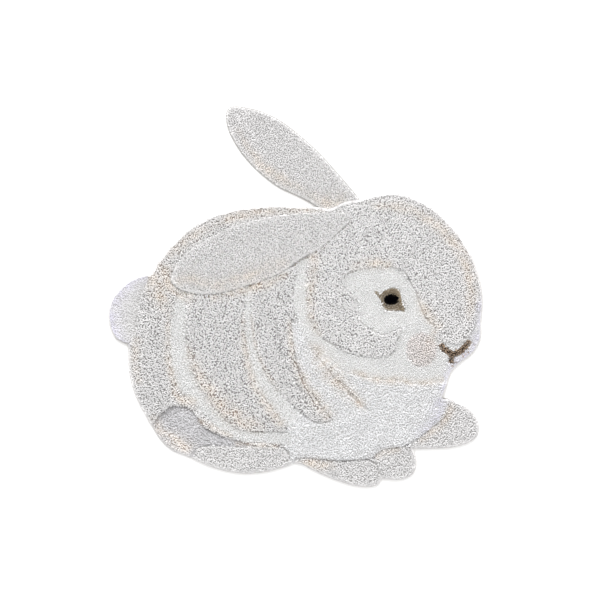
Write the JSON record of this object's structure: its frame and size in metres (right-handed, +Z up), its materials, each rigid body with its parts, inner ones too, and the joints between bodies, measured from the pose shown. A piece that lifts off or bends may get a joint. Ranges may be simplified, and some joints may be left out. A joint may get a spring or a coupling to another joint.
{
  "type": "rabbit shaped kids rug",
  "caption": "Flat tufted cotton floor rug in the outline of a sitting rabbit, with sculpted pile areas and sewn-on ears.",
  "frame": {"origin": "On the floor under the middle of the whole rug's bounding box.", "axes": "+Z up out of the pile, +X towards the rabbit's nose, +Y towards the tip of its far ear."},
  "size_m": [1.1772, 1.1976, 0.0233],
  "materials": {
    "coat_pile": "matt",
    "white_pile": "matt",
    "ear_pile": "matt",
    "eye_yarn": "matt",
    "dark_yarn": "matt"
  },
  "bodies": {
    "root": {"rug_body": "coat_pile", "near_ear": "ear_pile", "far_ear": "ear_pile"}
  },
  "joints": []
}
